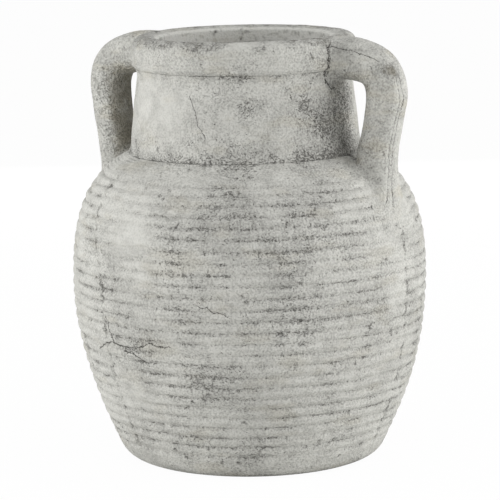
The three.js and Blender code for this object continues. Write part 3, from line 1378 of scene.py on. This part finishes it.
@dataclass
class Handle(Piece):
    """A thick bar luted to rim and neck, bent down and spread on the shoulder."""

    vessel: Vessel
    side: HandleSide
    weather: Weather
    ground: Ground
    # Dirt and painted shade on the side of the bar that faces the pot.
    sheltered_dirt_and_shade: float
    foot_shift: float
    crack_turns: Span
    crack_width: float
    slot: str = "handle_clay"
    sides: int = 88
    rows: int = 100
    ease_rows: int = 12
    stand_off: float = 45.5
    thickness: float = 38.0
    width: float = 37.0
    squareness: float = 0.72
    root_swell: float = 2.0
    foot_swell: float = 2.0
    waist: float = 1.7
    waist_height: float = 330.0
    waist_run: float = 24.0
    arm_drop: float = 21.5
    arm_run: float = 12.0
    bend: Span = (-9.0, -9.5)
    widest_drop: float = 33.0
    draw_in: Span = (-6.8, -75.0)
    foot_run: float = 43.0
    foot_rise: Span = (-2.0, 20.0)
    foot_depth: Span = (-8.0, -44.0)
    line_steps: int = 14
    root_run: float = 0.35
    foot_spread: Span = (0.55, 1.0)
    search_ends: Span = (0.45, 0.55)
    search_steps: int = 60
    search_halvings: int = 16
    root_ease: Span = (5.5, 6.0)
    crack_clear: float = 1.0
    crack_steps: int = 12
    foot_ease: Span = (10.0, 3.0)
    toe_ease: float = 42.0
    least_ease: float = 1.5
    hidden_draw: float = 0.5
    lines: Span = (-0.37, -0.1)
    line_depth: float = 0.8
    line_width: float = 1.2
    line_crack: float = 0.28
    line_crack_clear: float = 30.0
    line_breaks: Uneven = Uneven(0.2, ((1.0, 0.06),))
    line_stray: Wave = (0.1, 0.04)
    line_clear: Span = (8.0, 20.0)
    line_dirt: float = 0.25
    free_run: float = 8.0
    upright_run: float = 25.0
    mostly_upright: float = 0.5
    shelter_span: Span = (0.3, -0.7)
    arm_shelter: float = 0.3
    top_span: Span = (0.35, 0.9)
    top_dirt: float = 0.2
    crease_span: Span = (0.5, -0.3)
    crease_place: Span = (7.0, 4.5)
    crease_dirt: float = 0.9
    root_place: Span = (3.0, 2.5)
    root_dirt: float = 0.6
    rooted_run: Span = (2.0, 16.0)
    rooted_pace: float = 2.0
    dents: Uneven = Uneven(0.0, ((0.8, 0.04), (0.2, 0.35)))
    pits: Pits = Pits(6.0, 0.4, 0.15, 0.7, 1.1)

    def __post_init__(self) -> None:
        """Names the CAD node and draws the bar's middle line on the +X side."""
        self.node = f"handle_{self.side.name.lower()}"
        vessel = self.vessel
        arm = vessel.crest_height - self.arm_drop
        reach = vessel.rim_radius + self.stand_off
        foot = vessel.wall.at(vessel.wall.length - self.foot_run)
        places = [
            Vector((vessel.rim_radius - vessel.rim_outer_round, arm)),
            Vector((vessel.rim_radius + self.arm_run, arm)),
            Vector((reach, arm)) + Vector(self.bend),
            Vector((reach, arm - self.widest_drop)),
            Vector((reach + self.foot_shift, arm)) + Vector(self.draw_in),
            foot + Vector(self.foot_rise) + Vector((self.foot_shift, 0.0)),
            foot + Vector(self.foot_depth),
        ]
        smooth: list[Vector] = []
        for index in range(len(places) - 1):
            before, start = places[max(index - 1, 0)], places[index]
            end, after = places[index + 1], places[min(index + 2, len(places) - 1)]
            first, second = start + (end - before) / CHORD_PARTS, end - (after - start) / CHORD_PARTS
            smooth += curve_points(start, first, second, end, self.line_steps)[:-1]
        self.line = Meridian(smooth + places[-1:])

    def middle(self, along: float) -> Vector:
        """A point on the bar's middle line."""
        flat = self.line.at(along)
        return Vector((flat.x, 0.0, flat.y))

    def fibre(self, around: float, along: float) -> Vector:
        """A point on the bar's skin, before it is eased into the pot.

        Args:
            around: The angle round the bar's section, 0 on the outer face.
            along: The length along the bar's middle line.

        Returns:
            The point on the +X side.
        """
        share = along / self.line.length
        flat = self.line.at(along)
        outer = -self.line.outwards(along)
        waist = self.waist * bell(flat.y - self.waist_height, self.waist_run)
        deep = self.thickness / 2 + self.root_swell * (1.0 - smooth_step(0.0, self.root_run, share)) - waist
        wide = self.width / 2 + self.foot_swell * smooth_step(*self.foot_spread, share)
        across = math.copysign(abs(math.cos(around)) ** self.squareness, math.cos(around))
        beside = math.copysign(abs(math.sin(around)) ** self.squareness, math.sin(around))
        flat = flat + outer * (deep * across + waist)
        return Vector((flat.x, wide * beside, flat.y))

    @staticmethod
    def facing(around: float) -> tuple[float, float]:
        """How far a skin line faces sideways, and how far it faces the pot."""
        return math.sin(around) ** 2, max(-math.cos(around), 0.0)

    def buried(self, point: Vector) -> bool:
        """Whether a point lies inside the turned body."""
        return math.hypot(point.x, point.y) < self.vessel.radius_at(point.z)

    def bared(self, around: float) -> tuple[float, float]:
        """The stretch of a skin line that lies outside the turned body.

        Args:
            around: The angle round the bar's section.

        Returns:
            The lengths along the middle line where the skin leaves the rim and meets the shoulder.
        """
        ends = []
        for hidden, shown in zip((0.0, self.line.length), self.search_ends):
            step = (shown * self.line.length - hidden) / self.search_steps
            while self.buried(self.fibre(around, hidden + step)):
                hidden += step
            low, high = hidden, hidden + step
            for _ in range(self.search_halvings):
                halfway = (low + high) / 2
                low, high = (halfway, high) if self.buried(self.fibre(around, halfway)) else (low, halfway)
            ends.append(high)
        return ends[0], ends[1]

    def beside(self, point: Vector, aside: Vector, reach: float) -> Vector:
        """A place on the pot's skin near another.

        Args:
            point: A place on the skin.
            aside: The way to go from it.
            reach: How far to go.

        Returns:
            The place, bedded a little into the clay.
        """
        skin = self.vessel.skin
        turn = math.atan2(point.y, point.x)
        along = skin.rise_to(point.z)
        spoke = Vector((math.cos(turn), math.sin(turn), 0.0))
        square = skin.outwards(along)
        rise = UP * square.x - spoke * square.y
        up, sideways = aside.dot(rise), aside.dot(UP.cross(spoke))
        size = max(math.hypot(up, sideways), TINY)
        along = min(max(along + reach * up / size, 0.0), skin.length)
        spot = skin.at(along) - skin.outwards(along) * self.vessel.bedding
        turn += reach * sideways / size / math.hypot(point.x, point.y)
        return Vector((spot.x * math.cos(turn), spot.x * math.sin(turn), spot.y))

    def root_end(self, around: float, clear: float = 0.0) -> tuple[Vector, float]:
        """Where a skin line ends on the rim or the neck.

        Args:
            around: The angle round the bar's section.
            clear: How much further out the end is moved.

        Returns:
            The end, and the length of skin that is eased into it.
        """
        start, _ = self.bared(around)
        root = self.fibre(around, start)
        side, under = self.facing(around)
        ease = self.least_ease + self.root_ease[0] * side + self.root_ease[1] * under
        return self.beside(root, root - self.middle(start), ease + clear), ease

    def luting_crack(self) -> Crack:
        """The crack that has opened along one side of the root.

        Returns:
            The crack, on the handle's own side of the pot.
        """
        first, last = self.crack_turns
        places: list[Span] = []
        for step in range(self.crack_steps + 1):
            end, _ = self.root_end(first + (last - first) * step / self.crack_steps, self.crack_clear)
            places.append((math.degrees(math.atan2(end.y, end.x)) + self.side.value, end.z))
        return Crack(tuple(places), self.crack_width)

    def strand(self, around: float) -> list[Vector]:
        """One line along the bar's skin, eased into rim and shoulder, with its hidden ends drawn in.

        Args:
            around: The angle round the bar's section.

        Returns:
            The points, from the rim to the shoulder.
        """
        start, end = self.bared(around)
        root, foot = self.fibre(around, start), self.fibre(around, end)
        side, under = self.facing(around)
        root_end, root_ease = self.root_end(around)
        toe = max(math.cos(around), 0.0) ** 2
        foot_ease = self.foot_ease[0] * side + self.foot_ease[1] * under ** 2 + self.toe_ease * toe
        low, high = start + root_ease, end - foot_ease
        upper, lower = self.fibre(around, low), self.fibre(around, high)
        foot_end = self.beside(foot, foot - self.middle(end), foot_ease)
        points = [root_end.lerp(self.middle(low), self.hidden_draw)]
        points += rounded(root_end, root, upper, self.ease_rows)[:-1]
        points += [self.fibre(around, low + (high - low) * row / self.rows) for row in range(self.rows)]
        points += rounded(lower, foot, foot_end, self.ease_rows)
        points.append(foot_end.lerp(self.middle(high), self.hidden_draw))
        return points

    def weathered(self, vert: bmesh.types.BMVert, layer: Any, around: float, root: float,
                  foot: float) -> None:
        """Dents one point of the bar, draws its two lines and marks its dirt and the painted shade on its
        side that faces the pot.

        Args:
            vert: The point.
            layer: The mesh's number layers.
            around: The angle round the bar's section.
            root: How far it lies from the end on the rim.
            foot: How far it lies from the end on the shoulder.
        """
        point = vert.co.copy()
        free = smooth_step(0.0, self.free_run, min(root, foot))
        risen = point.z - self.vessel.crest_height + self.arm_drop
        upright = 1.0 - smooth_step(-self.upright_run, 0.0, risen)
        # Dirt and painted shade on the side that faces the pot, strongest where the bar runs down beside
        # the pot.
        shelter = smooth_step(*self.shelter_span, math.cos(around))
        shelter *= self.arm_shelter + (1.0 - self.arm_shelter) * upright
        top = smooth_step(*self.top_span, vert.normal.z)
        sway, pace = self.line_stray
        stray = around + sway * noise.noise(Vector((0.0, 0.0, point.z * pace)))
        aside = [(stray - turn) * self.width / 2 for turn in self.lines]
        line = sum(bell(gap, self.line_width) for gap in aside) * upright
        line *= smooth_step(*self.line_clear, foot)
        crease = smooth_step(*self.crease_span, math.cos(around))
        crease *= bell(foot - self.crease_place[0], self.crease_place[1])
        soil_and_painted_light = self.weather.soil_and_painted_light(point) + self.sheltered_dirt_and_shade * shelter + self.top_dirt * top
        soil_and_painted_light += self.line_dirt * line + self.crease_dirt * crease
        soil_and_painted_light += self.root_dirt * bell(root - self.root_place[0], self.root_place[1])
        rooted = 1.0 - smooth_step(*self.rooted_run, min(self.rooted_pace * root, foot))
        soil_and_painted_light += rooted * (self.ground.soil_and_painted_light(self.vessel, point) - soil_and_painted_light)
        crack = self.weather.crack(point)
        lined = upright > self.mostly_upright and foot > self.line_crack_clear
        if lined and self.line_breaks.at(point) > 0.0:
            crack = min(crack, *(gap / self.line_crack for gap in aside), key=abs)
        pit = self.pits.at(point, soil_and_painted_light) * free
        mark(vert, layer, line, soil_and_painted_light + self.pits.dirt * pit, crack)
        sunk = self.dents.at(point) + self.pits.depth * pit + self.line_depth * line
        vert.co = point - vert.normal * sunk * free

    def build(self) -> bmesh.types.BMesh:
        """Makes the bar ring by ring from the rim to the shoulder.

        Returns:
            The mesh in millimetres.
        """
        shape = bmesh.new()
        for name in MARKS:
            shape.verts.layers.float.new(name)
        ring = bmesh.ops.create_circle(shape, cap_ends=False, segments=self.sides, radius=1.0)["verts"]
        angles = [math.atan2(vert.co.y, vert.co.x) for vert in ring]
        strands = [self.strand(angle) for angle in angles]
        loops = [ring]
        edges = list(shape.edges)
        for _ in range(len(strands[0]) - 1):
            grown = bmesh.ops.extrude_edge_only(shape, edges=edges)["geom"]
            edges = [part for part in grown if isinstance(part, bmesh.types.BMEdge) and part.is_boundary]
            fresh = {part for part in grown if isinstance(part, bmesh.types.BMVert)}
            loops.append([next(edge.other_vert(vert) for edge in vert.link_edges
                               if edge.other_vert(vert) in fresh) for vert in loops[-1]])
        turn = Matrix.Rotation(math.radians(self.side.value), 3, "Z")
        for row, loop in enumerate(loops):
            for vert, strand in zip(loop, strands):
                vert.co = turn @ strand[row]
        bmesh.ops.edgeloop_fill(shape, edges=[edge for edge in shape.edges if edge.is_boundary])
        bmesh.ops.recalc_face_normals(shape, faces=shape.faces)
        shape.normal_update()
        layer = shape.verts.layers.float
        last = len(loops) - 1
        for row, loop in enumerate(loops):
            for vert, angle, strand in zip(loop, angles, strands):
                root, foot = (strand[row] - strand[1]).length, (strand[row] - strand[-2]).length
                self.weathered(vert, layer, angle, root if row else 0.0, foot if row < last else 0.0)
                vert.co = self.vessel.settled(vert.co)
        return shape


@dataclass(frozen=True)
class SoftBox:
    """A square lamp: its place by the camera's right, towards it and up, its side and its watts."""

    name: str
    place: tuple[float, float, float]
    side: float
    power: float


SOFT_BOXES = (
    SoftBox("left_box", (-1.85, 0.45, 0.6), 1.3, 22.5),
    SoftBox("right_box", (1.85, 0.35, 0.75), 1.3, 24.0),
    SoftBox("front_box", (0.0, 1.2, 1.8), 1.4, 7.5),
    SoftBox("rear_box", (0.0, -2.0, 0.7), 1.3, 14.0),
)


@dataclass(frozen=True)
class Studio:
    """Pale floor, soft light all round, and the camera. Metres and degrees."""

    azimuth: float = 30.0
    distance: float = 2.799
    eye_height: float = 0.670
    pitch: float = 9.45
    roll: float = -0.85
    lens: float = 205.13
    sensor: float = 36.0
    far_sight: float = 200.0
    floor_radius: float = 30.0
    floor_sides: int = 64
    floor_colour: Colour = (0.86, 0.86, 0.85)
    floor_glow: float = 0.97
    ambient: float = 0.455
    aside: float = 0.0006
    target: tuple[float, float, float] = (0.0, 0.0, 0.21)

    def seen_from(self, right: float, towards: float, up: float) -> Vector:
        """A place given by the camera's right, the way towards the camera, and up."""
        turn = Matrix.Rotation(math.radians(self.azimuth), 3, "Z")
        return turn @ Vector((right, -towards, up))

    def camera(self) -> None:
        """Sets the camera at the photograph's place."""
        data = bpy.data.cameras.new("eye")
        data.sensor_width = self.sensor
        data.lens = self.lens
        data.clip_end = self.far_sight
        eye = bpy.data.objects.new("eye", data)
        eye.location = self.seen_from(self.aside, self.distance, self.eye_height)
        tilt = Matrix.Rotation(math.radians(90.0 - self.pitch), 4, "X")
        aim = Matrix.Rotation(math.radians(self.azimuth), 4, "Z") @ tilt
        eye.rotation_euler = (aim @ Matrix.Rotation(math.radians(self.roll), 4, "Z")).to_euler()
        bpy.context.scene.collection.objects.link(eye)
        bpy.context.scene.camera = eye

    def lamp(self, box: SoftBox) -> None:
        """Hangs one soft box, which faces the pot and isn't seen itself.

        Args:
            box: The soft box.
        """
        place = self.seen_from(*box.place)
        data = bpy.data.lights.new(box.name, "AREA")
        data.size = box.side
        data.energy = box.power
        lamp = bpy.data.objects.new(box.name, data)
        lamp.location = place
        lamp.visible_camera = False
        lamp.rotation_euler = (Vector(self.target) - place).to_track_quat("-Z", "Y").to_euler()
        bpy.context.scene.collection.objects.link(lamp)

    def world(self) -> None:
        """Lights the room softly and shows it white to the eye."""
        world = bpy.data.worlds.new("room")
        world.use_nodes = True
        graph = Graph(world.node_tree)
        soft = graph.node("ShaderNodeBackground", None, {"Color": WHITE, "Strength": self.ambient})
        white = graph.node("ShaderNodeBackground", None, {"Color": WHITE, "Strength": 1.0})
        mixed = graph.node("ShaderNodeMixShader", None, {0: graph.showing(), 1: soft, 2: white})
        graph.finish("ShaderNodeOutputWorld", mixed)
        bpy.context.scene.world = world

    def floor(self) -> None:
        """Lays the pale floor, which keeps a soft shadow."""
        shape = bmesh.new()
        bmesh.ops.create_circle(shape, cap_ends=True, segments=self.floor_sides,
                                radius=self.floor_radius)
        mesh = bpy.data.meshes.new("floor")
        shape.to_mesh(mesh)
        shape.free()
        material, graph = new_material("pale_floor")
        matt = graph.node("ShaderNodeBsdfDiffuse", None, {"Color": paint(self.floor_colour)})
        glow = graph.node("ShaderNodeEmission", None, {"Color": WHITE, "Strength": 1.0})
        share = self.floor_glow * graph.showing()
        mixed = graph.node("ShaderNodeMixShader", None, {0: share, 1: matt, 2: glow})
        graph.finish("ShaderNodeOutputMaterial", mixed)
        mesh.materials.append(material)
        floor = bpy.data.objects.new("floor", mesh)
        bpy.context.scene.collection.objects.link(floor)

    def set_up(self) -> None:
        """Makes camera, lamps, room and floor."""
        bpy.context.scene.view_settings.view_transform = "Standard"
        self.camera()
        for box in SOFT_BOXES:
            self.lamp(box)
        self.world()
        self.floor()


BELLY_WEATHER = Weather(
    patches=(
        Patch(-60.0, 212.0, (110.0, 85.0), 0.2),
        Patch(-74.0, 99.0, (36.0, 22.0), 0.4),
        Patch(-70.0, 24.0, (110.0, 18.0), 0.25),
        Patch(-138.0, 200.0, (30.0, 90.0), -0.2),
        Patch(-102.0, 255.0, (38.0, 42.0), -0.65),
        Patch(-75.0, 303.0, (90.0, 12.0), 0.3),
        Patch(-17.0, 182.0, (36.0, 70.0), -0.1),
        Patch(0.0, 180.0, (10.0, 120.0), -0.15),
        Patch(-104.0, 80.0, (34.0, 30.0), -0.3),
    ),
    cracks=(
        Crack(((-113.4, 159.0), (-112.3, 155.0), (-111.9, 143.4), (-110.0, 134.3), (-107.2, 131.5),
               (-103.6, 126.2), (-101.4, 126.0))),
        Crack(((-110.0, 133.6), (-105.4, 131.6), (-99.8, 132.6), (-94.0, 138.9), (-91.1, 136.7),
               (-86.6, 136.9))),
        Crack(((-102.5, 128.9), (-99.9, 123.8), (-97.6, 119.6))),
        Crack(((-110.8, 134.3), (-116.0, 130.0), (-119.5, 125.0))),
        Crack(((-76.5, 180.0), (-74.9, 176.6), (-73.3, 178.0), (-71.4, 172.6), (-69.6, 173.4),
               (-67.1, 169.6)), 0.35),
    ),
)
NECK_WEATHER = Weather(
    patches=(
        Patch(-24.0, 352.0, (30.0, 34.0), 0.45),
        Patch(-37.0, 373.0, (8.0, 6.0), 0.7),
        Patch(-29.0, 359.0, (10.0, 7.0), 0.9),
        Patch(-16.0, 338.0, (12.0, 9.0), 0.9),
        Patch(-58.0, 359.0, (15.0, 9.0), 0.7),
        Patch(-118.0, 352.0, (38.0, 30.0), -0.6),
        # Dirt and painted shadow of the right handle's arm, on the neck below it.
        Patch(0.0, 345.0, (26.0, 60.0), 1.1),
    ),
    cracks=(Crack(((-89.3, 368.6), (-86.1, 354.7), (-84.4, 342.4), (-80.0, 331.3)), 0.36),),
)
RIM_WEATHER = Weather(
    patches=(
        # A painted highlight along the front edge of the mouth.
        Patch(-57.0, 419.0, (26.0, 4.0), -0.9),
        Patch(-110.0, 416.0, (70.0, 5.0), 0.3),
        Patch(-135.0, 404.0, (60.0, 20.0), 0.4),
        Patch(-20.0, 405.0, (26.0, 16.0), 0.35),
    ),
)
RIGHT_HANDLE_WEATHER = Weather(
    patches=(
        Patch(-4.4, 391.0, (8.0, 8.0), 1.7),
        Patch(-2.8, 389.0, (6.0, 6.0), 0.8),
        Patch(-7.0, 362.0, (11.0, 22.0), 0.2),
        Patch(-7.0, 318.0, (10.0, 16.0), 0.2),
        Patch(-12.0, 394.0, (22.0, 10.0), -0.5),
        Patch(-7.5, 409.0, (4.0, 2.5), 0.8),
    ),
    cracks=(Crack(((-12.2, 413.0), (-8.9, 411.2)), 0.6),
            Crack(((-8.9, 411.2), (-7.7, 408.0), (-6.8, 403.5), (-5.8, 399.0)), 0.28)),
)
LEFT_HANDLE_WEATHER = Weather(
    patches=(Patch(180.0, 350.0, (60.0, 70.0), 0.3), Patch(-171.0, 402.0, (14.0, 10.0), -0.3)),
)


def main() -> None:
    """Sets up the studio, builds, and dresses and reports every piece."""
    logging.basicConfig(level=logging.INFO, format="%(name)s %(message)s")
    Studio().set_up()
    vessel = Vessel()
    ribbed = StoneWash("ribbed_wash").material()
    neck = StoneWash("neck_wash", pale=(0.57, 0.567, 0.532), streaks=0.1, smear=0.22, fleck=1.3).material()
    rim = StoneWash("rim_wash", pale=(0.545, 0.542, 0.506), grime_and_shade=(0.27, 0.255, 0.21), streaks=0.2,
                    smear=0.5, fleck=0.7, spots=0.5, crazing=0.4, dulling=0.14).material()
    handle = StoneWash("handle_wash", pale=(0.58, 0.577, 0.54), warm=(0.46, 0.42, 0.32),
                       grime_and_shade=(0.20, 0.185, 0.145), streaks=0.05, smear=0.85, fleck=0.25, spots=0.5,
                       crazing=0.12, dulling=0.14).material()
    bare = StoneWash("floor_bare", pale=(0.50, 0.49, 0.45)).material()
    ground = Ground(BELLY_WEATHER, NECK_WEATHER, RIM_WEATHER)
    right = Handle(vessel, HandleSide.RIGHT, RIGHT_HANDLE_WEATHER, ground, sheltered_dirt_and_shade=0.4,
                   foot_shift=-1.2, crack_turns=(-1.15, -2.7), crack_width=1.4)
    left = Handle(vessel, HandleSide.LEFT, LEFT_HANDLE_WEATHER, ground, sheltered_dirt_and_shade=1.4,
                  foot_shift=0.8, crack_turns=(0.3, 1.9), crack_width=0.8)
    neck_weather = NECK_WEATHER.with_crack(right.luting_crack())
    rim_weather = RIM_WEATHER.with_crack(right.luting_crack()).with_crack(left.luting_crack())
    pieces: list[tuple[Piece, bpy.types.Material]] = [
        *((BellyPanel(vessel, place, BELLY_WEATHER), ribbed) for place in PanelPlace),
        (FloorSlab(vessel), bare),
        (NeckCollar(vessel, neck_weather), neck),
        (RimBand(vessel, rim_weather), rim),
        (right, handle),
        (left, handle),
    ]
    for piece, finish in pieces:
        fired = piece.dress(finish)
        LOG.info("%s: %d faces", fired.name, len(fired.data.polygons))


if __name__ == "__main__":
    main()
